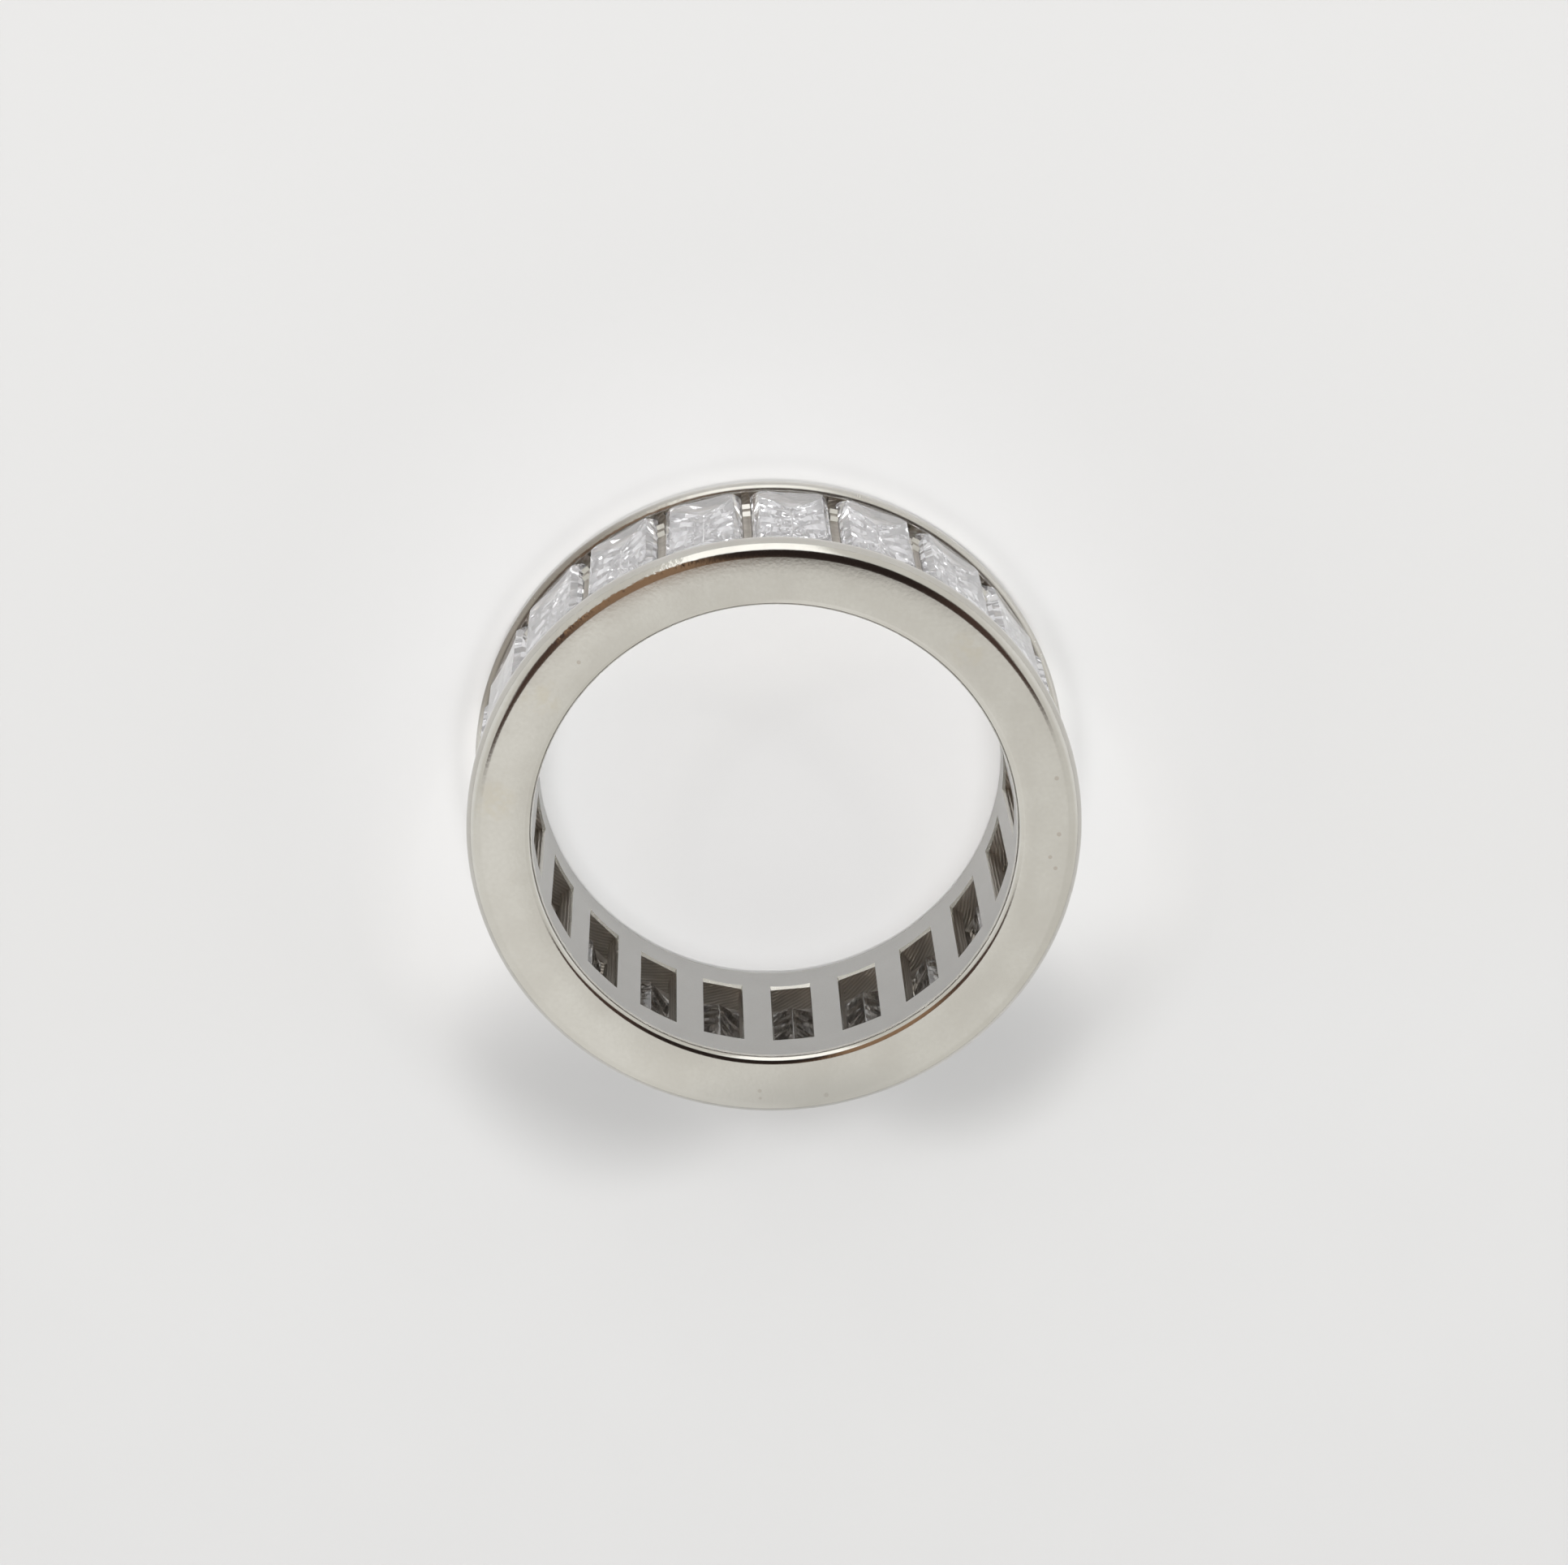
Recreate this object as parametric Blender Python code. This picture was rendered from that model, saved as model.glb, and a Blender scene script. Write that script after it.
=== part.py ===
"""Eternity band: a channel-set ring with one row of oblong clear stones all the way round.

The ring lies on its side. Metres, +Z up: Z is the axis of the finger hole, Z = 0 the lower side
face, and the middle of the hole is at X = Y = 0. The first stone is centred on -Y.
"""
import math

import bmesh
import bpy

MM = 0.001

STONE_COUNT = 21
SEGMENTS = STONE_COUNT * 4
STEP_ANGLE = 2.0 * math.pi / STONE_COUNT
FIRST_ANGLE = -math.pi / 2.0

# Hoop
HOLE_RADIUS = 8.50 * MM
OUTER_RADIUS = 10.80 * MM
BAND_WIDTH = 7.70 * MM
OUTER_EDGE_ROUND = 0.46 * MM
OUTER_EDGE_STEPS = 5
HOLE_EDGE_ROUND = 0.26 * MM
HOLE_EDGE_STEPS = 4
SMOOTH_LIMIT = math.radians(26.0)

# Channel that the stones stand in, and the cross bars between them
CHANNEL_HALF = 3.00 * MM
RAIL_EDGE_ROUND = 0.25 * MM
RAIL_EDGE_STEPS = 3
BAR_TOP_RADIUS = 10.50 * MM
BAR_HALF = 0.17 * MM

# Pocket under each stone, from its floor up: distance from the ring's axis, half length
POCKET_PROFILE = (
    (9.00 * MM, 2.255 * MM),
    (9.45 * MM, 2.255 * MM),
    (10.10 * MM, 3.22 * MM),
    (10.42 * MM, 3.22 * MM),
    (10.42 * MM, 2.94 * MM),
    (10.70 * MM, 2.94 * MM),
)

# Window through the inner wall behind each stone
WINDOW_HALF_WIDTH = 0.715 * MM
WINDOW_HALF_LENGTH = 2.255 * MM
WINDOW_FROM_RADIUS = 8.20 * MM
WINDOW_TO_RADIUS = 9.40 * MM

# Stone, from its tip up: distance from the ring's axis, half width, half length, corner cut
STONE_LEVELS = (
    (9.06 * MM, 0.07 * MM, 1.55 * MM, 0.03 * MM),
    (9.54 * MM, 0.78 * MM, 2.30 * MM, 0.16 * MM),
    (10.17 * MM, 1.33 * MM, 3.12 * MM, 0.25 * MM),
    (10.26 * MM, 1.33 * MM, 3.12 * MM, 0.25 * MM),
    (10.42 * MM, 1.18 * MM, 2.90 * MM, 0.23 * MM),
    (10.62 * MM, 0.92 * MM, 2.52 * MM, 0.19 * MM),
)


def clear_scene():
    for old in list(bpy.data.objects):
        bpy.data.objects.remove(old, do_unlink=True)


def make_material(name, colour, roughness, metallic):
    material = bpy.data.materials.new(name)
    material.use_nodes = True
    shader = material.node_tree.nodes["Principled BSDF"]
    shader.inputs["Base Color"].default_value = (*colour, 1.0)
    shader.inputs["Roughness"].default_value = roughness
    shader.inputs["Metallic"].default_value = metallic
    return material


def finish_mesh(work, name):
    """Turns a bmesh into a mesh with its faces pointing out."""
    bmesh.ops.recalc_face_normals(work, faces=work.faces)
    mesh = bpy.data.meshes.new(name)
    work.to_mesh(mesh)
    work.free()
    return mesh


def add_object(name, mesh, turn=0.0):
    """Places a mesh at half the band's width, turned about the ring's axis."""
    result = bpy.data.objects.new(name, mesh)
    result.location = (0.0, 0.0, BAND_WIDTH / 2.0)
    result.rotation_euler = (0.0, 0.0, turn)
    bpy.context.scene.collection.objects.link(result)
    return result


def quarter_round(radius_at, height_at, radius, start, steps):
    """Points of a quarter circle about a centre, from the start angle and 90 degrees on."""
    points = []
    for step in range(steps + 1):
        angle = start + step * math.pi / 2.0 / steps
        points.append((radius_at + radius * math.cos(angle), height_at + radius * math.sin(angle)))
    return points


def hoop_profile():
    """Section of the band without its pockets: radius and height from the middle, once round it."""
    half = BAND_WIDTH / 2.0
    upper = [(BAR_TOP_RADIUS, CHANNEL_HALF)]
    upper += quarter_round(
        OUTER_RADIUS - RAIL_EDGE_ROUND, CHANNEL_HALF + RAIL_EDGE_ROUND,
        RAIL_EDGE_ROUND, -math.pi / 2.0, RAIL_EDGE_STEPS)
    upper += quarter_round(
        OUTER_RADIUS - OUTER_EDGE_ROUND, half - OUTER_EDGE_ROUND,
        OUTER_EDGE_ROUND, 0.0, OUTER_EDGE_STEPS)
    upper += quarter_round(
        HOLE_RADIUS + HOLE_EDGE_ROUND, half - HOLE_EDGE_ROUND,
        HOLE_EDGE_ROUND, math.pi / 2.0, HOLE_EDGE_STEPS)
    return upper + [(radius, -height) for radius, height in reversed(upper)]


def turned_hoop_mesh():
    """The profile spun once round the ring's axis."""
    work = bmesh.new()
    ring = [work.verts.new((radius, 0.0, height)) for radius, height in hoop_profile()]
    for here, after in zip(ring, ring[1:] + ring[:1]):
        work.edges.new((here, after))
    bmesh.ops.spin(
        work, geom=work.verts[:] + work.edges[:], cent=(0.0, 0.0, 0.0), axis=(0.0, 0.0, 1.0),
        angle=2.0 * math.pi, steps=SEGMENTS, use_merge=True)
    return finish_mesh(work, "channel_band")


def repeat_round_axis(work):
    """Copies what is in the bmesh once for each stone."""
    bmesh.ops.spin(
        work, geom=work.verts[:] + work.edges[:] + work.faces[:], cent=(0.0, 0.0, 0.0),
        axis=(0.0, 0.0, 1.0), angle=2.0 * math.pi - STEP_ANGLE, steps=STONE_COUNT - 1, use_duplicate=True)


def bridged_solid(rings):
    """A closed bmesh through rings of points with the same count, capped at both ends."""
    work = bmesh.new()
    loops = [[work.verts.new(point) for point in ring] for ring in rings]
    for low, high in zip(loops, loops[1:]):
        for index in range(len(low)):
            after = (index + 1) % len(low)
            work.faces.new((low[index], low[after], high[after], high[index]))
    work.faces.new(loops[0])
    work.faces.new(loops[-1])
    return work


def hide_cutter(cutter):
    cutter.hide_render = True
    cutter.display_type = "WIRE"
    return cutter


def pocket_cutter():
    """A wedge-sided pocket for each stone; what stays between two of them is a thin cross bar."""
    outline = list(POCKET_PROFILE) + [(radius, -half) for radius, half in reversed(POCKET_PROFILE)]
    slope = math.tan(STEP_ANGLE / 2.0)
    back = BAR_HALF / math.cos(STEP_ANGLE / 2.0)
    left = [(radius, radius * slope - back, height) for radius, height in outline]
    right = [(radius, back - radius * slope, height) for radius, height in outline]
    work = bridged_solid((left, right))
    repeat_round_axis(work)
    return hide_cutter(add_object("pocket_cutter", finish_mesh(work, "pocket_cutter"), FIRST_ANGLE))


def window_cutter():
    """An oblong window behind each stone."""
    corners = ((-1.0, -1.0), (1.0, -1.0), (1.0, 1.0), (-1.0, 1.0))
    rings = []
    for radius in (WINDOW_FROM_RADIUS, WINDOW_TO_RADIUS):
        rings.append([(radius, x * WINDOW_HALF_WIDTH, y * WINDOW_HALF_LENGTH) for x, y in corners])
    work = bridged_solid(rings)
    repeat_round_axis(work)
    return hide_cutter(add_object("window_cutter", finish_mesh(work, "window_cutter"), FIRST_ANGLE))


def cut(target, cutter):
    modifier = target.modifiers.new("cut_" + cutter.name, "BOOLEAN")
    modifier.operation = "DIFFERENCE"
    modifier.solver = "EXACT"
    modifier.object = cutter


def channel_band(material):
    """Both side walls, the inner wall and the cross bars: one cast and turned piece of metal."""
    mesh = turned_hoop_mesh()
    mesh.materials.append(material)
    mesh.shade_smooth()
    mesh.set_sharp_from_angle(angle=SMOOTH_LIMIT)
    band = add_object("channel_band", mesh, FIRST_ANGLE)
    cut(band, pocket_cutter())
    cut(band, window_cutter())
    return band


def stone_ring(radius, half_width, half_length, corner):
    """One level of the stone: an oblong with its four corners cut off."""
    ring = []
    for x, y in ((1.0, 1.0), (-1.0, 1.0), (-1.0, -1.0), (1.0, -1.0)):
        on_side = (radius, x * half_width, y * (half_length - corner))
        on_end = (radius, x * (half_width - corner), y * half_length)
        ring += [on_side, on_end] if x * y > 0.0 else [on_end, on_side]
    return ring


def stone_mesh(material):
    """Table, two rows of crown facets, girdle, two rows of pavilion facets and a narrow tip."""
    mesh = finish_mesh(bridged_solid([stone_ring(*level) for level in STONE_LEVELS]), "stone")
    mesh.materials.append(material)
    return mesh


clear_scene()
channel_band(make_material("white_metal", (0.72, 0.70, 0.66), 0.22, 1.0))
clear_stone = stone_mesh(make_material("clear_stone", (0.93, 0.94, 0.95), 0.04, 0.0))
for number in range(STONE_COUNT):
    add_object("stone_%02d" % (number + 1), clear_stone, FIRST_ANGLE + number * STEP_ANGLE)
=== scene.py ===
"""Looks of the eternity band: a white metal ring with 21 oblong clear stones set in a channel.

The ring lies on its side. Metres, +Z up: Z is the axis of the finger hole, Z = 0 the lower side
face, and the first stone is centred on -Y.
"""

import math

import bmesh
import bpy
from mathutils import Matrix, Vector


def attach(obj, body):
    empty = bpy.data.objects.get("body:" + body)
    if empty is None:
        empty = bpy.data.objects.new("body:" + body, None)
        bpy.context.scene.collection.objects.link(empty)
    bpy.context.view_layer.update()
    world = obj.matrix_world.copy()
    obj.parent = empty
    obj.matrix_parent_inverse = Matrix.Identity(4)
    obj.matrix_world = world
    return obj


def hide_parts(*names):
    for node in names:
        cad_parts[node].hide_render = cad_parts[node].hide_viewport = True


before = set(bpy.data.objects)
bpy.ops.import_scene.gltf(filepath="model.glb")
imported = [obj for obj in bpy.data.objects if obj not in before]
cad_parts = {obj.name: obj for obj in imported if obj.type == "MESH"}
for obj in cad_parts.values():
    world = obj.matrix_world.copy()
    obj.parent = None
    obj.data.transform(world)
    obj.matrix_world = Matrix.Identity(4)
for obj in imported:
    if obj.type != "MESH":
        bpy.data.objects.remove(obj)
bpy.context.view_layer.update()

# Band. The real one is a single hoop of white metal, turned with a channel round its outside,
# polished on its edges and blasted to a soft satin inside the hole. It is milled through behind each
# stone, and the cross bars that stay between the stones are filed down in two short steps.
MM = 0.001
HOLE_RADIUS = 8.50 * MM
OUTER_RADIUS = 10.80 * MM
BAND_WIDTH = 7.70 * MM
MIDDLE = BAND_WIDTH / 2.0
HOOP_STEPS = 336
OUTER_EDGE_ROUND = 0.54 * MM
OUTER_EDGE_STEPS = 12
HOLE_EDGE_ROUND = 0.28 * MM
HOLE_EDGE_STEPS = 9
RAIL_EDGE_ROUND = 0.25 * MM
RAIL_EDGE_STEPS = 9
STRAIGHT_LIMIT = math.radians(1.0)
SMOOTH_LIMIT = math.radians(30.0)
CHANNEL_HALF = 3.00 * MM
BAR_TOP_RADIUS = 10.50 * MM
STONE_COUNT = 21
STONE_STEP = 2.0 * math.pi / STONE_COUNT
BAR_HALF = 0.14 * MM
TINY = 0.004 * MM
MERGE_DISTANCE = 0.001 * MM


def select_only(piece):
    """Makes the piece the only selected one, so that an operator acts on it alone."""
    bpy.ops.object.select_all(action="DESELECT")
    piece.select_set(True)
    bpy.context.view_layer.objects.active = piece


def edit(piece):
    """Opens the piece in edit mode with nothing selected."""
    select_only(piece)
    bpy.ops.object.mode_set(mode="EDIT")
    bpy.ops.mesh.select_mode(type="VERT")
    bpy.ops.mesh.select_all(action="DESELECT")


def close_edit():
    bpy.ops.object.mode_set(mode="OBJECT")


def pick(kind, test):
    """In edit mode, selects the points, edges or faces for which the test holds, and no others."""
    bpy.ops.mesh.select_mode(type={"verts": "VERT", "edges": "EDGE", "faces": "FACE"}[kind])
    bpy.ops.mesh.select_all(action="DESELECT")
    mesh = bpy.context.edit_object.data
    shape = bmesh.from_edit_mesh(mesh)
    for part in getattr(shape, kind):
        if test(part):
            part.select_set(True)
    bmesh.update_edit_mesh(mesh)


def distance_from_axis(point):
    return math.hypot(point.x, point.y)


def upright_plane(name, centre, width, height):
    """A flat rectangle that stands on the X axis, as the start of a section or a block."""
    bpy.ops.object.select_all(action="DESELECT")
    bpy.ops.mesh.primitive_plane_add(size=1.0, location=centre, rotation=(math.pi / 2.0, 0.0, 0.0))
    plane = bpy.context.object
    plane.name = name
    plane.scale = (width, height, 1.0)
    bpy.ops.object.transform_apply(location=True, rotation=True, scale=True)
    return plane


def turned_hoop():
    """The section of the hoop, with its channel and rounded edges, spun once round the axis."""
    wall = OUTER_RADIUS - HOLE_RADIUS
    hoop = upright_plane("band", (HOLE_RADIUS + wall / 2.0, 0.0, MIDDLE), wall, BAND_WIDTH)
    edit(hoop)
    for place, normal in (
        ((0.0, 0.0, MIDDLE + CHANNEL_HALF), (0.0, 0.0, 1.0)),
        ((0.0, 0.0, MIDDLE - CHANNEL_HALF), (0.0, 0.0, 1.0)),
        ((BAR_TOP_RADIUS, 0.0, 0.0), (1.0, 0.0, 0.0)),
    ):
        bpy.ops.mesh.select_all(action="SELECT")
        bpy.ops.mesh.bisect(plane_co=place, plane_no=normal)
    pick("faces", lambda face: face.calc_center_median().x > BAR_TOP_RADIUS
         and abs(face.calc_center_median().z - MIDDLE) < CHANNEL_HALF)
    bpy.ops.mesh.delete(type="FACE")
    bpy.ops.mesh.select_all(action="SELECT")
    bpy.ops.mesh.dissolve_faces()
    bpy.ops.mesh.dissolve_limited(angle_limit=STRAIGHT_LIMIT)
    for at_radius, at_half, size, steps in (
        (OUTER_RADIUS, BAND_WIDTH / 2.0, OUTER_EDGE_ROUND, OUTER_EDGE_STEPS),
        (HOLE_RADIUS, BAND_WIDTH / 2.0, HOLE_EDGE_ROUND, HOLE_EDGE_STEPS),
        (OUTER_RADIUS, CHANNEL_HALF, RAIL_EDGE_ROUND, RAIL_EDGE_STEPS),
    ):
        pick("verts", lambda point: abs(point.co.x - at_radius) < TINY
             and abs(abs(point.co.z - MIDDLE) - at_half) < TINY)
        bpy.ops.mesh.bevel(offset=size, segments=steps, affect="VERTICES", clamp_overlap=False)
    bpy.ops.mesh.select_all(action="SELECT")
    bpy.ops.mesh.delete(type="ONLY_FACE")
    bpy.ops.mesh.select_all(action="SELECT")
    bpy.ops.mesh.spin(
        steps=HOOP_STEPS, angle=2.0 * math.pi, center=(0.0, 0.0, 0.0), axis=(0.0, 0.0, 1.0))
    bpy.ops.mesh.select_all(action="SELECT")
    bpy.ops.mesh.remove_doubles(threshold=MERGE_DISTANCE)
    bpy.ops.mesh.normals_make_consistent(inside=False)
    close_edit()
    return hoop


def stacked_block(name, levels, corner=0.0):
    """A closed block on -Y. Each level gives its distance from the axis, half width and half length."""
    radius, half_width, half_length = levels[0]
    block = upright_plane(name, (0.0, -radius, MIDDLE), 2.0 * half_width, 2.0 * half_length)
    edit(block)
    bpy.ops.mesh.select_all(action="SELECT")
    if corner:
        bpy.ops.mesh.bevel(offset=corner, segments=1, affect="VERTICES")
        bpy.ops.mesh.select_all(action="SELECT")
    for here, after in zip(levels, levels[1:]):
        outwards = {"value": (0.0, here[0] - after[0], 0.0)}
        bpy.ops.mesh.extrude_region_move(TRANSFORM_OT_translate=outwards)
        bpy.ops.transform.resize(
            value=(after[1] / here[1], 1.0, after[2] / here[2]),
            center_override=(0.0, -after[0], MIDDLE))
    bpy.ops.mesh.select_all(action="SELECT")
    bpy.ops.mesh.normals_make_consistent(inside=False)
    close_edit()
    return block


def repeat_for_each_stone(block):
    """Spins copies of the block round the axis, one for each stone."""
    edit(block)
    bpy.ops.mesh.select_all(action="SELECT")
    bpy.ops.mesh.spin(
        steps=STONE_COUNT - 1, dupli=True, angle=2.0 * math.pi - STONE_STEP,
        center=(0.0, 0.0, 0.0), axis=(0.0, 0.0, 1.0))
    bpy.ops.mesh.select_all(action="SELECT")
    bpy.ops.mesh.normals_make_consistent(inside=False)
    close_edit()


def cut(piece, cutter):
    """Takes the cutter's shape out of the piece and throws the cutter away."""
    select_only(piece)
    step = piece.modifiers.new("cut", "BOOLEAN")
    step.operation = "DIFFERENCE"
    step.solver = "EXACT"
    step.object = cutter
    bpy.ops.object.modifier_apply(modifier=step.name)
    bpy.data.objects.remove(cutter, do_unlink=True)


def wedge_half_width(radius):
    """Half the room between two cross bars at a distance from the axis."""
    return radius * math.tan(STONE_STEP / 2.0) - BAR_HALF / math.cos(STONE_STEP / 2.0)


band = turned_hoop()

POCKET_LEVELS = (
    (9.00 * MM, 2.255 * MM),
    (9.45 * MM, 2.255 * MM),
    (10.10 * MM, 3.22 * MM),
    (10.42 * MM, 3.22 * MM),
    (10.43 * MM, 2.94 * MM),
    (10.70 * MM, 2.94 * MM),
)
pockets = stacked_block(
    "pockets", [(radius, wedge_half_width(radius), half) for radius, half in POCKET_LEVELS])
repeat_for_each_stone(pockets)
cut(band, pockets)

WINDOW_HALF_WIDTH = 0.715 * MM
WINDOW_HALF_LENGTH = 2.255 * MM
WINDOW_TO_RADIUS = 9.40 * MM
WINDOW_EDGE = 0.08 * MM
FLARE = 0.30 * MM
SIDE_SLOPE = 0.30
windows = stacked_block("windows", (
    (HOLE_RADIUS - FLARE, WINDOW_HALF_WIDTH + SIDE_SLOPE * (WINDOW_EDGE + FLARE),
     WINDOW_HALF_LENGTH + WINDOW_EDGE + FLARE),
    (HOLE_RADIUS + WINDOW_EDGE, WINDOW_HALF_WIDTH, WINDOW_HALF_LENGTH),
    (WINDOW_TO_RADIUS, WINDOW_HALF_WIDTH, WINDOW_HALF_LENGTH),
))
repeat_for_each_stone(windows)
cut(band, windows)

NOTCH_TOP = 10.75 * MM
NOTCH_HALF_WIDTH = 0.30 * MM
CLEAR = 10.55 * MM
# Height above the middle of the band, and the distance from the axis that the bar is filed down to
NOTCH_DEPTHS = (
    (-2.96 * MM, 9.85 * MM),
    (-1.98 * MM, 9.95 * MM),
    (-1.90 * MM, CLEAR),
    (-1.74 * MM, CLEAR),
    (-1.54 * MM, 10.38 * MM),
    (-1.49 * MM, 10.44 * MM),
    (-1.02 * MM, 10.44 * MM),
    (-0.86 * MM, 10.31 * MM),
    (2.90 * MM, 10.31 * MM),
)


def notch_block():
    """A stepped block over one cross bar, then one over each of them. It files a dark hollow beside
    one rail, then two short steps, whose slopes catch the light, and then a flat half."""
    start, end = NOTCH_DEPTHS[0][0], NOTCH_DEPTHS[-1][0]
    centre = ((CLEAR + NOTCH_TOP) / 2.0, 0.0, MIDDLE + (start + end) / 2.0)
    block = upright_plane("notches", centre, NOTCH_TOP - CLEAR, end - start)
    edit(block)
    for height, depth in NOTCH_DEPTHS[1:-1]:
        bpy.ops.mesh.select_all(action="SELECT")
        bpy.ops.mesh.bisect(plane_co=(0.0, 0.0, MIDDLE + height), plane_no=(0.0, 0.0, 1.0))
    for height, depth in NOTCH_DEPTHS:
        if depth < CLEAR:
            pick("verts", lambda point: point.co.x < CLEAR + TINY
                 and abs(point.co.z - MIDDLE - height) < TINY)
            bpy.ops.transform.translate(value=(depth - CLEAR, 0.0, 0.0))
    bpy.ops.mesh.select_all(action="SELECT")
    bpy.ops.transform.translate(value=(0.0, NOTCH_HALF_WIDTH, 0.0))
    across = {"value": (0.0, -2.0 * NOTCH_HALF_WIDTH, 0.0)}
    bpy.ops.mesh.extrude_region_move(TRANSFORM_OT_translate=across)
    close_edit()
    block.rotation_euler = (0.0, 0.0, -math.pi / 2.0 + STONE_STEP / 2.0)
    bpy.ops.object.transform_apply(location=False, rotation=True, scale=False)
    repeat_for_each_stone(block)
    return block


cut(band, notch_block())


class Shade:
    """One socket of a shader, wrapped so that shader maths reads as plain sums."""

    def __init__(self, tree, socket=None):
        self.tree = tree
        self.socket = socket

    def node(self, kind, settings=None, values=None, output=0):
        """Adds a node: its settings first, then the values or links of its sockets."""
        made = self.tree.nodes.new(kind)
        for name, value in (settings or {}).items():
            setattr(made, name, value)
        for name, value in (values or {}).items():
            if isinstance(value, Shade):
                self.tree.links.new(value.socket, made.inputs[name])
            else:
                made.inputs[name].default_value = value
        return Shade(self.tree, made.outputs[output])

    def math(self, operation, *values):
        return self.node("ShaderNodeMath", {"operation": operation}, dict(enumerate(values)))

    def __add__(self, other):
        return self.math("ADD", self, other)

    def __sub__(self, other):
        return self.math("SUBTRACT", self, other)

    def __rsub__(self, other):
        return self.math("SUBTRACT", other, self)

    def __mul__(self, other):
        return self.math("MULTIPLY", self, other)

    def __truediv__(self, other):
        return self.math("DIVIDE", self, other)

    def __rtruediv__(self, other):
        return self.math("DIVIDE", other, self)

    __radd__ = __add__
    __rmul__ = __mul__


def new_finish(name):
    """A material with its shader, and the place of each point on the piece."""
    material = bpy.data.materials.new(name)
    material.use_nodes = True
    shader = material.node_tree.nodes["Principled BSDF"]
    place = Shade(material.node_tree).node("ShaderNodeTexCoord", output="Object")
    return material, shader, place


def feed(shader, socket, value):
    shader.id_data.links.new(value.socket, shader.inputs[socket])


def split(place):
    """The three parts of a place."""
    parts = place.node("ShaderNodeSeparateXYZ", None, {0: place}).socket.node
    return [Shade(place.tree, parts.outputs[index]) for index in range(3)]


def absolute(value):
    return value.math("ABSOLUTE", value)


def root(value):
    return value.math("SQRT", value)


def rise(value, low, high):
    """0 up to low, 1 from high on, and smooth between them."""
    return value.node(
        "ShaderNodeMapRange", {"interpolation_type": "SMOOTHSTEP"},
        {"Value": value, "From Min": low, "From Max": high})


def noise(place, size, detail):
    """Soft noise from 0 to 1 whose lumps are about this size, in metres."""
    values = {"Vector": place, "Scale": 1.0 / size, "Detail": detail}
    return place.node("ShaderNodeTexNoise", None, values)


def tint(mask, first, second):
    """The first colour where the mask is 0, the second where it is 1."""
    colours = {0: mask}
    for index, colour in ((6, first), (7, second)):
        colours[index] = colour if isinstance(colour, Shade) else (*colour, 1.0)
    return mask.node("ShaderNodeMix", {"data_type": "RGBA"}, colours, 2)


def bump(height, distance):
    """A bump whose height of 1 stands out by this distance."""
    return height.node("ShaderNodeBump", None, {"Height": height, "Distance": distance})


# Stains on the upper side face: place and half width in millimetres
STAINS = (
    (9.96, 1.28, 0.10), (9.92, -0.83, 0.10), (9.56, -1.66, 0.09), (9.72, -2.10, 0.09),
    (-1.38, -9.72, 0.09), (-1.38, -10.01, 0.07), (0.99, -10.11, 0.11), (-6.15, 7.09, 0.09),
)
YELLOW_STAINS = ((-9.54, 2.28, 0.9), (7.18, 6.31, 0.8), (-7.6, 5.9, 0.9))
STAIN_SOFTNESS = 0.7
YELLOW_SOFTNESS = 0.9


def spots(place, stains_and_shadows, softness):
    """1 within each spot, given in millimetres: the stains on the upper side face and the painted
    shadows on the board. 0 outside them.
    """
    x, y, z = split(place)
    found = 0.0
    for at_x, at_y, size in stains_and_shadows:
        off_x = (x - at_x * MM) / (size * MM)
        off_y = (y - at_y * MM) / (size * MM)
        found = (1.0 - rise(off_x * off_x + off_y * off_y, 1.0 - softness, 1.0)) + found
    return found


METAL_PALE = (0.655, 0.64, 0.60)
METAL_WARM = (0.60, 0.582, 0.54)
METAL_GREY = (0.56, 0.545, 0.505)
YELLOWED = (0.60, 0.56, 0.47)
STAINED = (0.38, 0.32, 0.26)
# Painted shade for the lower middle of the polished metal, on -Y
PAINTED_LOW_SHADE = (0.43, 0.425, 0.40)
# Painted brown reflection for the rail next to the floor
PAINTED_BROWN_REFLECTION = (0.23, 0.195, 0.16)
YELLOW_STRENGTH = 0.5
STAIN_STRENGTH = 0.42
PAINTED_LOW_SHADE_STRENGTH = 0.55
BROWN_REFLECTION_STRENGTH = 0.75
CLOUD_SIZE = 1.8 * MM
CLOUD_EDGE = (0.3, 0.7)
FINE_SIZE = 0.16 * MM
YELLOW_SIZE = 0.5 * MM
YELLOW_EDGE = (0.35, 0.65)
LOW_SHADE_BELOW = (8.5 * MM, 10.3 * MM)
LOW_SHADE_ASIDE = (2.0 * MM, 7.0 * MM)
UPPER_SIDE = (2.0 * MM, 4.0 * MM)
OUTSIDE_RADIUS = (10.35 * MM, 10.5 * MM)
BROWN_REFLECTION_TO_LEFT = (0.1, 0.7)
BROWN_REFLECTION_TOP = (0.80 * MM, 0.95 * MM)
BROWN_REFLECTION_FOOT = (0.25 * MM, 0.50 * MM)
KNOCKS_START = (0.14, 0.25)
KNOCKS_END = (0.8, 1.0)
KNOCK_SIZE = 0.30 * MM
KNOCK_DEPTH = 0.024
HANDLING_SIZE = 0.12 * MM
HANDLING_DEPTH = 0.0010
CHANNEL_EDGE = (3.20 * MM, 3.30 * MM)


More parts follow.
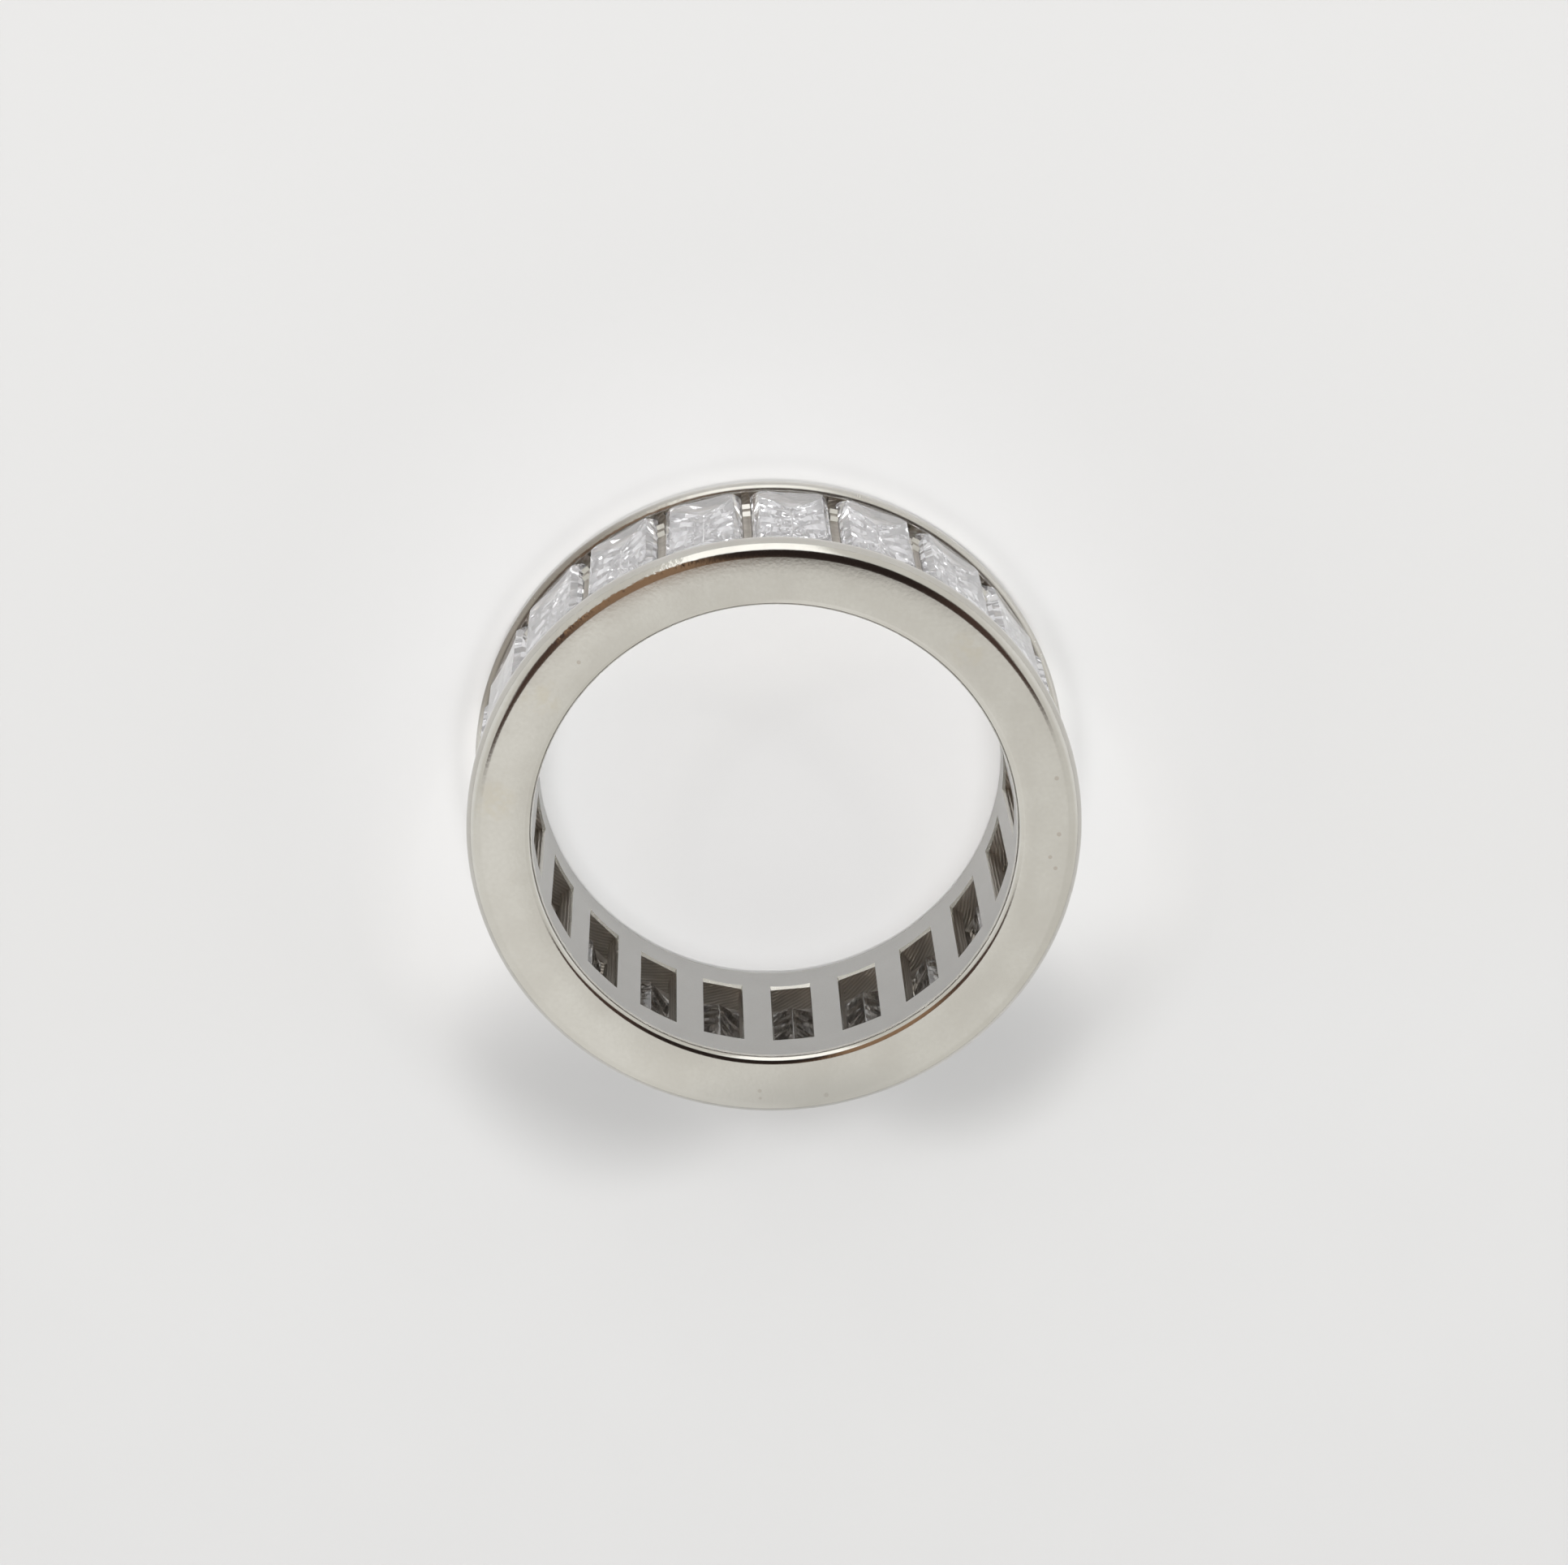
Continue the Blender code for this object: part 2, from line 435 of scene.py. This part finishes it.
def polished_metal():
    """Side faces, rounded edges and rail tops: polished, with handling marks and faint stains, and with
    painted shade and a painted reflection.
    """
    material, shader, place = new_finish("polished_metal")
    cloud = noise(place, CLOUD_SIZE, 4.0)
    fine = noise(place, FINE_SIZE, 3.0)
    colour = tint(rise(cloud, *CLOUD_EDGE), METAL_PALE, METAL_WARM)
    colour = tint(fine * 0.5, colour, METAL_GREY)
    patchy = rise(noise(place, YELLOW_SIZE, 3.0), *YELLOW_EDGE)
    yellow = spots(place, YELLOW_STAINS, YELLOW_SOFTNESS) * patchy
    colour = tint(yellow * YELLOW_STRENGTH, colour, YELLOWED)
    colour = tint(spots(place, STAINS, STAIN_SOFTNESS) * STAIN_STRENGTH, colour, STAINED)
    x, y, z = split(place)
    # Painted shade: the polished metal darkens towards its lower middle, on -Y.
    painted_low_shade = rise(0.0 - y, *LOW_SHADE_BELOW) * (1.0 - rise(absolute(x), *LOW_SHADE_ASIDE))
    colour = tint(painted_low_shade * PAINTED_LOW_SHADE_STRENGTH, colour, PAINTED_LOW_SHADE)
    leftwards = (0.0 - x) / y
    radius = root(x * x + y * y)
    on_outside = rise(y, *UPPER_SIDE) * rise(radius, *OUTSIDE_RADIUS)
    # Painted reflection: a dark brown band on the rail next to the floor, on the +Y side towards -X,
    # fainter at its foot.
    painted_reflection = on_outside * rise(leftwards, *BROWN_REFLECTION_TO_LEFT) * (1.0 - rise(z, *BROWN_REFLECTION_TOP))
    painted_reflection = painted_reflection * (0.45 + 0.55 * rise(z, *BROWN_REFLECTION_FOOT))
    colour = tint(painted_reflection * BROWN_REFLECTION_STRENGTH, colour, PAINTED_BROWN_REFLECTION)
    feed(shader, "Base Color", colour)
    in_channel = 1.0 - rise(absolute(z - MIDDLE), *CHANNEL_EDGE)
    feed(shader, "Roughness", 0.075 + 0.04 * cloud + 0.05 * fine + 0.14 * in_channel)
    knocks = on_outside * rise(leftwards, *KNOCKS_START) * (1.0 - rise(leftwards, *KNOCKS_END))
    dents = noise(place, KNOCK_SIZE, 3.0) * knocks * KNOCK_DEPTH
    dents = dents + noise(place, HANDLING_SIZE, 2.0) * HANDLING_DEPTH
    feed(shader, "Normal", bump(dents, MM))
    shader.inputs["Metallic"].default_value = 1.0
    return material


SATIN_PALE = (0.57, 0.565, 0.55)
SATIN_GREY = (0.525, 0.52, 0.505)
SATIN_GRAIN = (0.42, 0.415, 0.40)
GRAIN_SIZE = 0.06 * MM
GRAIN_DEPTH = 0.005 * MM
SATIN_CLOUD_SIZE = 1.2 * MM


def satin_metal():
    """Inside of the hole: blasted to an even fine grain."""
    material, shader, place = new_finish("satin_metal")
    grain = noise(place, GRAIN_SIZE, 3.0)
    cloud = noise(place, SATIN_CLOUD_SIZE, 2.0)
    colour = tint(cloud, SATIN_PALE, SATIN_GREY)
    feed(shader, "Base Color", tint(grain * 0.25, colour, SATIN_GRAIN))
    feed(shader, "Roughness", 0.40 + 0.10 * grain)
    feed(shader, "Normal", bump(grain, GRAIN_DEPTH))
    shader.inputs["Metallic"].default_value = 1.0
    return material


CUTTER_PITCH = 0.131 * MM
CUTTER_SLANT = 0.54
CUTTER_WANDER = 2.5
WANDER_SIZE = 0.4 * MM
LINE_DEPTH = 0.010 * MM
WORN_SIZE = 0.45 * MM
MILLED_DARK = (0.34, 0.31, 0.27)
MILLED_PALE = (0.58, 0.54, 0.49)
BAR_DARKENED = (0.23, 0.20, 0.165)
BAR_FOOT = (10.2 * MM, 10.4 * MM)
BAR_TOP = (10.52 * MM, 10.56 * MM)
BAR_DARKENED_EDGE = (0.25, 0.65)


def milled_metal():
    """Channel, pockets and window sides: as milled, with the cutter's lines and old polish in them."""
    material, shader, place = new_finish("milled_metal")
    x, y, z = split(place)
    around = x.math("ARCTAN2", y, x) * HOLE_RADIUS
    radius = root(x * x + y * y)
    phase = (radius + around * CUTTER_SLANT) * (2.0 * math.pi / CUTTER_PITCH)
    phase = phase + CUTTER_WANDER * noise(place, WANDER_SIZE, 1.0)
    lines = phase.math("SINE", phase) * 0.5 + 0.5
    worn = noise(place, WORN_SIZE, 3.0)
    colour = tint(lines * 0.6 + worn * 0.4, MILLED_DARK, MILLED_PALE)
    # The tops of the cross bars between the stones are darkened to a deeper brown in patches.
    on_bar = rise(radius, *BAR_FOOT) * (1.0 - rise(radius, *BAR_TOP))
    colour = tint(on_bar * rise(worn, *BAR_DARKENED_EDGE), colour, BAR_DARKENED)
    feed(shader, "Base Color", colour)
    feed(shader, "Roughness", 0.32 + 0.14 * worn)
    feed(shader, "Normal", bump(lines * (0.5 + worn), LINE_DEPTH))
    shader.inputs["Metallic"].default_value = 1.0
    return material


SADDLE_RADIUS = 10.0 * MM
SADDLE_HALF = 2.0 * MM
LOOKS_UP = 0.3
RAIL_TOP_RADIUS = OUTER_RADIUS - 0.26 * MM
POCKET_END = 3.3 * MM
LOOKS_AT_AXIS = -0.999
HOLE_WALL_RADIUS = HOLE_RADIUS + 0.01 * MM


def face_inside_channel(face):
    """True for the faces that the polishing wheel and the blasting don't reach."""
    centre = face.calc_center_median()
    radius = distance_from_axis(centre)
    off_middle = abs(centre.z - MIDDLE)
    if radius > SADDLE_RADIUS and off_middle < SADDLE_HALF and face.normal.z > LOOKS_UP:
        return False
    return HOLE_RADIUS + WINDOW_EDGE < radius < RAIL_TOP_RADIUS and off_middle < POCKET_END


def face_on_hole_wall(face):
    centre = face.calc_center_median()
    outwards = Vector((centre.x, centre.y, 0.0)).normalized()
    return face.normal.dot(outwards) < LOOKS_AT_AXIS and distance_from_axis(centre) < HOLE_WALL_RADIUS


for metal in (polished_metal(), satin_metal(), milled_metal()):
    band.data.materials.append(metal)
edit(band)
for slot_number, test in ((1, face_on_hole_wall), (2, face_inside_channel)):
    pick("faces", test)
    band.active_material_index = slot_number
    bpy.ops.object.material_slot_assign()
close_edit()
select_only(band)
bpy.ops.object.shade_smooth_by_angle(angle=SMOOTH_LIMIT)
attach(band, "root")
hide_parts("channel_band")

# Stones. The real ones are oblong cubic zirconia with cut corners: a table, two rows of crown
# facets, a girdle and rows of pavilion facets down to a narrow keel. Each stands in its pocket, and
# the rails are pressed over its two ends.
STONE_LEVELS = (
    (10.62 * MM, 1.15 * MM, 2.66 * MM),
    (10.42 * MM, 1.32 * MM, 2.90 * MM),
    (10.26 * MM, 1.38 * MM, 3.12 * MM),
    (10.19 * MM, 1.38 * MM, 3.12 * MM),
    (9.86 * MM, 1.12 * MM, 2.75 * MM),
    (9.54 * MM, 0.78 * MM, 2.30 * MM),
    (9.06 * MM, 0.008 * MM, 1.55 * MM),
)
TABLE_CORNER = 0.18 * MM
GIRDLE_RADIUS = 10.15 * MM
GIRDLE_FOOT = GIRDLE_RADIUS + 0.08 * MM
SIDE_CUTS = 7
END_CUTS = 3
LONG_EDGE = 1.0 * MM
STRAIGHT_SHARE = 0.9
FACET_LENGTH = 0.55 * MM
KEEL_SIDE = 0.2 * MM
# From and to this distance from the axis, points are pushed out this far
PAVILION_ROWS = ((9.70 * MM, 10.00 * MM, 0.07 * MM), (9.40 * MM, 9.68 * MM, -0.06 * MM))
STONE_IOR = 2.15
CROWN_CLEAR = (0.915, 0.915, 0.935)
CROWN_CLOUD = (0.765, 0.765, 0.79)
CROWN_CLOUD_SIZE = 0.7 * MM
CROWN_TRANSMISSION = 0.84
CROWN_HAZE = 0.04
HAZE_SIZE = 0.8 * MM
HAZE_EDGE = (0.45, 0.75)
# Painted shade: the under side of each stone is tinted dark
PAVILION_PAINTED_SHADE = (0.42, 0.40, 0.375)
PAVILION_DEEPER_SHADE = (0.22, 0.20, 0.18)
PAVILION_HAZE = 0.03
PAVILION_PATCH_SIZE = 0.5 * MM


def crown_finish():
    """Top of a stone: clear, with a pale cloud in it and a haze of fingerprints on its polish."""
    material, shader, place = new_finish("clear_stone_crown")
    cloud = noise(place, CROWN_CLOUD_SIZE, 3.0)
    haze = noise(place, HAZE_SIZE, 3.0)
    feed(shader, "Base Color", tint(rise(cloud, *CLOUD_EDGE), CROWN_CLEAR, CROWN_CLOUD))
    feed(shader, "Roughness", CROWN_HAZE * rise(haze, *HAZE_EDGE))
    shader.inputs["IOR"].default_value = STONE_IOR
    shader.inputs["Transmission Weight"].default_value = CROWN_TRANSMISSION
    return material


def pavilion_finish():
    """Under side of a stone: clear, and dimmed by painted shade that is darker in patches."""
    material, shader, place = new_finish("clear_stone_pavilion")
    # Painted shade on the under side, darker in patches.
    pavilion_patches = noise(place, PAVILION_PATCH_SIZE, 3.0)
    colour = tint(rise(pavilion_patches, *CLOUD_EDGE), PAVILION_PAINTED_SHADE, PAVILION_DEEPER_SHADE)
    feed(shader, "Base Color", colour)
    feed(shader, "Roughness", PAVILION_HAZE * pavilion_patches)
    shader.inputs["IOR"].default_value = STONE_IOR
    shader.inputs["Transmission Weight"].default_value = 1.0
    return material


def long_edge_below_girdle(edge, axis):
    """True for a long edge of the pavilion that runs along the axis with this number."""
    first, second = edge.verts
    length = edge.calc_length()
    runs_along = length > LONG_EDGE and abs(first.co[axis] - second.co[axis]) > STRAIGHT_SHARE * length
    return runs_along and all(distance_from_axis(point.co) < GIRDLE_FOOT for point in edge.verts)


def every_other_point(point, row):
    """True for every second point along a side of the stone, and for the others in the next row."""
    along = round(abs(point.co.z - MIDDLE) / FACET_LENGTH)
    return abs(point.co.x) > KEEL_SIDE and (along + row + (point.co.x > 0.0)) % 2 == 0


def split_pavilion(stone):
    """Parts the sides and ends below the girdle into small facets, each leaning its own way."""
    edit(stone)
    for axis, cuts in ((0, END_CUTS), (2, SIDE_CUTS)):
        pick("edges", lambda edge: long_edge_below_girdle(edge, axis))
        bpy.ops.mesh.subdivide(number_cuts=cuts)
    for row, (lowest, highest, push) in enumerate(PAVILION_ROWS):
        pick("verts", lambda point: lowest < -point.co.y < highest and every_other_point(point, row))
        bpy.ops.transform.shrink_fatten(value=push)
    pick("faces", lambda face: face.calc_center_median().y > -GIRDLE_RADIUS and face.normal.y > 0.0)
    bpy.ops.mesh.quads_convert_to_tris(quad_method="FIXED_ALTERNATE", ngon_method="BEAUTY")
    bpy.ops.mesh.select_all(action="SELECT")
    bpy.ops.mesh.normals_make_consistent(inside=False)
    close_edit()


first_stone = stacked_block("cut_stone_01", STONE_LEVELS, TABLE_CORNER)
split_pavilion(first_stone)
for clear_material in (crown_finish(), pavilion_finish()):
    first_stone.data.materials.append(clear_material)
edit(first_stone)
pick("faces", lambda face: distance_from_axis(face.calc_center_median()) < GIRDLE_RADIUS)
first_stone.active_material_index = 1
bpy.ops.object.material_slot_assign()
close_edit()
cut_stones = [first_stone]
for number in range(1, STONE_COUNT):
    select_only(first_stone)
    bpy.ops.object.duplicate(linked=False)
    stone = bpy.context.object
    stone.name = "cut_stone_%02d" % (number + 1)
    stone.data.name = stone.name
    stone.rotation_euler = (0.0, 0.0, number * STONE_STEP)
    bpy.ops.object.transform_apply(location=False, rotation=True, scale=False)
    cut_stones.append(stone)
for number, stone in enumerate(cut_stones):
    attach(stone, "root")
    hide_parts("stone_%02d" % (number + 1))

# Floor. A plain pale board, large enough to fill the view from every side. It is paler where the
# ring keeps the lamps and the room off it, in the hole and close round it, so that it looks even.
FLOOR_SIZE = 3.0
BOARD_PALE = (0.440, 0.442, 0.445)
BOARD_GREY = (0.430, 0.432, 0.435)
MOTTLE_SIZE = 6.0 * MM
BOARD_ROUGHNESS = 0.9
BOARD_GLOSS = 0.1
BLACK = (0.0, 0.0, 0.0)
# Squares of the distances from the axis between which the hole's floor turns into the outer one
HOLE_FLOOR = ((8.6 * MM) ** 2, (9.4 * MM) ** 2)
# How much light reaches a place from the room, the lamp overhead and each high lamp
LIGHT_LEVEL = 0.369
ROOM_INSIDE = 0.147
ROOM_FALL_X = 0.0009
ROOM_FALL_Y = 0.00042
ROOM_MIDDLE_Y = 2.0
ROOM_NEAR = 0.180
ROOM_GAIN = 0.102
ROOM_REACH = (8.0 * MM, 20.0 * MM)
WALL_SHADE = 0.17
WALL_REACH = (10.7 * MM, 11.55 * MM)
OVERHEAD_SHARE = 0.316
HIGH_SHARE = 0.14
HIGH_REACH_X = 4.15 * MM
HIGH_REACH_Y = 4.95 * MM
HIGH_INSIDE = (7.1 * MM, 10.4 * MM)
HIGH_OUTSIDE = (9.2 * MM, 12.4 * MM)
EVEN_INSIDE = (0.996, 0.999, 1.004)
EVEN_OUTSIDE = (1.030, 1.032, 1.036)
EVEN_UP_TO = (6.5 * MM, 12.5 * MM)
# Painted shadows: soft grey patches of the board below the ring on both sides, place and half width in
# millimetres
PAINTED_SHADOWS = ((-7.3, -11.4, 6.6), (6.3, -11.7, 5.6))
PAINTED_SHADOW_GREY = (0.10, 0.10, 0.10)
PAINTED_SHADOW_STRENGTH = 0.20


def floor_finish():
    material, shader, place = new_finish("pale_board")
    board = tint(noise(place, MOTTLE_SIZE, 2.0), BOARD_PALE, BOARD_GREY)
    x, y, z = split(place)
    from_axis = root(x * x + y * y)
    over_x = x / MM
    over_y = y / MM - ROOM_MIDDLE_Y
    room_inside = ROOM_INSIDE - ROOM_FALL_X * (over_x * over_x) - ROOM_FALL_Y * (over_y * over_y)
    room_outside = ROOM_NEAR + ROOM_GAIN * rise(from_axis, *ROOM_REACH)
    light_inside = room_inside + OVERHEAD_SHARE
    light_outside = room_outside + OVERHEAD_SHARE - WALL_SHADE * (1.0 - rise(from_axis, *WALL_REACH))
    for centre_x in (-HIGH_REACH_X, HIGH_REACH_X):
        off_x = x - centre_x
        off_y = y + HIGH_REACH_Y
        off_centre = root(off_x * off_x + off_y * off_y)
        light_inside = light_inside + HIGH_SHARE * (1.0 - rise(off_centre, *HIGH_INSIDE))
        light_outside = light_outside + HIGH_SHARE * rise(off_centre, *HIGH_OUTSIDE)
    inside = tint(LIGHT_LEVEL / light_inside, BLACK, EVEN_INSIDE)
    evened = tint(LIGHT_LEVEL / light_outside, BLACK, EVEN_OUTSIDE)
    outside = tint(rise(0.0 - y, *EVEN_UP_TO), evened, board)
    # Painted shadows on the board, below the ring on both sides.
    outside = tint(spots(place, PAINTED_SHADOWS, 1.0) * PAINTED_SHADOW_STRENGTH, outside, PAINTED_SHADOW_GREY)
    in_hole = 1.0 - rise(x * x + y * y, *HOLE_FLOOR)
    feed(shader, "Base Color", tint(in_hole, outside, inside))
    shader.inputs["Roughness"].default_value = BOARD_ROUGHNESS
    shader.inputs["Specular IOR Level"].default_value = BOARD_GLOSS
    return material


bpy.ops.object.select_all(action="DESELECT")
bpy.ops.mesh.primitive_plane_add(size=FLOOR_SIZE, location=(0.0, 0.0, 0.0))
floor = bpy.context.object
floor.name = "floor"
floor.data.materials.append(floor_finish())

# Light. A pale room with one bright window towards +Y and a dark card round the camera, as a
# photographer uses for polished metal. A lamp overhead and two high ones light the floor, and small
# lamps that only the stones show give them their glints.
ROOM_GREY = (0.82, 0.81, 0.77)
ROOM_OVERHEAD = (0.82, 0.81, 0.775)
ROOM_GLOW = (0.98, 0.97, 0.94)
ROOM_SIDES = (1.0, 1.0, 0.99)
OVERHEAD_FROM = (0.2, 0.9)
GLOW_LEFT = (-0.015, 0.05)
GLOW_RIGHT = (-0.01, 0.055)
GLOW_RIGHT_SHARE = 0.45
GLOW_FALL = 0.3
GLOW_ASIDE = (0.10, 0.30)
GLOW_BELOW = (0.18, 0.30)
SIDES_FROM = (0.75, 1.0)
WINDOW_WHITE = (1.65, 1.65, 1.63)
WINDOW_ASIDE = (0.24, 0.36)
WINDOW_ABOVE = (0.40, 0.62)
# Each part of the card: its middle aside and along Y, then its half size in both
CARD_PARTS = ((0.0, 0.20, 0.65, 0.46), (0.30, -0.12, 0.26, 0.17))
CARD_EDGE = (0.85, 1.10)
CARD_FOOT = (0.0, 0.2)
CARD_DARK = (0.026, 0.018, 0.016)
CARD_BROWN = (0.36, 0.225, 0.14)
CARD_RED = (0.078, 0.047, 0.038)
# A polished edge shows a fan of directions, which starts at the one that the side face shows. These
# are the slopes in the fan where the card turns brown, then dark red, and where it ends.
FAN_START_Y = 0.36
FAN_BROWN = (0.12, 0.22)
FAN_RED = (0.62, 1.00)
FAN_END = (2.3, 3.6)


def dark_card(x, y, z):
    """How much of the card shows in a direction, and its colour there."""
    shown = 0.0
    for centre_x, centre_y, half_width, half_height in CARD_PARTS:
        card_x = (absolute(x) - centre_x) / half_width
        card_y = (y - centre_y) / half_height
        part = 1.0 - rise(card_x * card_x + card_y * card_y, *CARD_EDGE)
        shown = part.math("MAXIMUM", part, shown)
    leftwards = (0.0 - x) / (y + FAN_START_Y)
    aside = absolute(leftwards)
    shown = shown * rise(z, *CARD_FOOT) * (1.0 - rise(aside, *FAN_END))
    colour = tint(rise(leftwards, *FAN_BROWN), CARD_DARK, CARD_BROWN)
    return shown, tint(rise(aside, *FAN_RED), colour, CARD_RED)


def room():
    """The world: the pale room, its glow, the window and the card."""
    world = bpy.data.worlds.new("room")
    bpy.context.scene.world = world
    world.use_nodes = True
    tree = world.node_tree
    background = tree.nodes["Background"]
    x, y, z = split(Shade(tree).node("ShaderNodeTexCoord", output="Generated"))
    sideways = absolute(x)
    colour = tint(rise(z, *OVERHEAD_FROM), ROOM_GREY, ROOM_OVERHEAD)
    glow = rise(0.0 - x, *GLOW_LEFT) * (1.0 - GLOW_FALL * rise(sideways, *GLOW_ASIDE))
    glow = glow + GLOW_RIGHT_SHARE * rise(x, *GLOW_RIGHT) * (1.0 - rise(sideways, *GLOW_ASIDE))
    colour = tint(glow * rise(0.0 - y, *GLOW_BELOW), colour, ROOM_GLOW)
    colour = tint(rise(sideways, *SIDES_FROM), colour, ROOM_SIDES)
    window = (1.0 - rise(sideways, *WINDOW_ASIDE)) * rise(y, *WINDOW_ABOVE)
    colour = tint(window, colour, WINDOW_WHITE)
    card, card_colour = dark_card(x, y, z)
    colour = tint(card, colour, card_colour)
    tree.links.new(colour.socket, background.inputs["Color"])


room()


def soft_lamp(name, place, size, power):
    """A round lamp that points at the ring, and that neither metal nor stone shows."""
    bpy.ops.object.select_all(action="DESELECT")
    bpy.ops.object.light_add(type="AREA", location=place)
    lamp = bpy.context.object
    lamp.name = name
    lamp.data.shape = "DISK"
    lamp.data.size = size
    lamp.data.energy = power
    to_ring = Vector((0.0, 0.0, MIDDLE)) - Vector(place)
    lamp.rotation_euler = to_ring.to_track_quat("-Z", "Y").to_euler()
    lamp.visible_camera = False
    lamp.visible_glossy = False
    lamp.visible_transmission = False
    return lamp


# Name, place, width in metres and power in watts
LAMPS = (
    ("overhead", (0.0, 0.015, 0.40), 0.12, 1.03),
    ("high_left", (-0.165, 0.197, 0.306), 0.10, 0.57),
    ("high_right", (0.165, 0.197, 0.306), 0.10, 0.57),
)
for lamp_name, lamp_place, lamp_size, lamp_power in LAMPS:
    soft_lamp(lamp_name, lamp_place, lamp_size, lamp_power)

SPARK_SIZE = 0.080
SPARK_POWER = 0.27
SPARK_PLACES = (
    (0.06, 0.36, 0.15), (-0.08, 0.37, 0.08), (0.0, 0.30, 0.26), (0.19, 0.31, 0.12), (-0.20, 0.30, 0.16),
    (-0.12, 0.20, 0.31), (0.13, 0.18, 0.32), (0.29, 0.22, 0.14), (-0.30, 0.20, 0.15), (0.02, 0.10, 0.38),
    (0.22, 0.12, 0.30), (-0.22, 0.10, 0.31), (0.10, 0.30, 0.22), (-0.05, 0.22, 0.33),
    (0.12, 0.37, 0.05), (-0.16, 0.34, 0.13), (0.24, 0.26, 0.20), (-0.25, 0.24, 0.20),
)
for number, spark_place in enumerate(SPARK_PLACES):
    spark = soft_lamp("spark_%02d" % (number + 1), spark_place, SPARK_SIZE, SPARK_POWER)
    spark.visible_transmission = True
    spark.visible_diffuse = False

# Camera. It looks down into the ring at the angle of the photograph, from the side of +Y, and stands
# a hand's width and a half away. Light is followed far enough to cross the facets of the stones.
CAMERA_DISTANCE = 135.6 * MM
CAMERA_TILT = math.radians(21.18)
CAMERA_ROLL = math.radians(4.35)
RING_TURN = math.radians(0.769)
CENTRE_RIGHT = -0.0034
CENTRE_UP = -0.0037
CAMERA_LENS = 86.69
SENSOR_WIDTH = 36.0
NEAREST = 0.01
METAL_BOUNCES = 12
STONE_BOUNCES = 20

tilted = Matrix.Rotation(-CAMERA_TILT, 4, "X")
to_camera = tilted @ Vector((-CENTRE_RIGHT, -CENTRE_UP, 1.0)) * CAMERA_DISTANCE
bpy.ops.object.camera_add()
camera = bpy.context.object
camera.name = "camera"
camera.data.sensor_width = SENSOR_WIDTH
camera.data.lens = CAMERA_LENS
camera.data.clip_start = NEAREST
camera.data.dof.use_dof = False
camera.matrix_world = (
    Matrix.Rotation(-RING_TURN, 4, "Z")
    @ Matrix.Translation(Vector((0.0, 0.0, MIDDLE)) + to_camera)
    @ tilted
    @ Matrix.Rotation(-CAMERA_ROLL, 4, "Z"))
bpy.context.scene.camera = camera
bpy.context.scene.view_settings.view_transform = "Standard"
bpy.context.scene.cycles.glossy_bounces = METAL_BOUNCES
bpy.context.scene.cycles.max_bounces = STONE_BOUNCES
